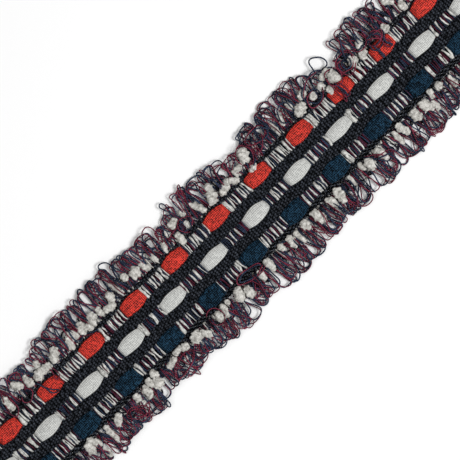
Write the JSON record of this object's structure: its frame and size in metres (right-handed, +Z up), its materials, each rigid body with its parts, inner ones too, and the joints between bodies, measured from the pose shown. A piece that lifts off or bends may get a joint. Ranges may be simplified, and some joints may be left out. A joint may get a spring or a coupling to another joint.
{
  "type": "woven trim",
  "caption": "Flat cut length of woven trim: black warp columns, bare slub wefts, knitted ribbons in red, white and navy threaded through as ovals, and a looped slub fringe along both edges.",
  "frame": {"origin": "middle of the trim's length and width, on the surface it lies on", "axes": "+X along the trim, +Y towards the edge beside the red ribbon, +Z up from the back to the face"},
  "size_m": [0.24, 0.0495, 0.0036],
  "materials": {
    "black_warp": "matt warp-faced weave",
    "red_ribbon": "fine knit, soft sheen",
    "white_ribbon": "fine knit, soft sheen",
    "navy_ribbon": "fine knit, soft sheen",
    "fringe_threads": "twisted thread",
    "slub_yarn": "soft lumpy yarn"
  },
  "bodies": {
    "root": {"woven_band": "black_warp", "ribbon_red": "red_ribbon", "ribbon_white": "white_ribbon", "ribbon_navy": "navy_ribbon", "fringe_red_side": "fringe_threads", "fringe_navy_side": "fringe_threads"}
  },
  "joints": []
}
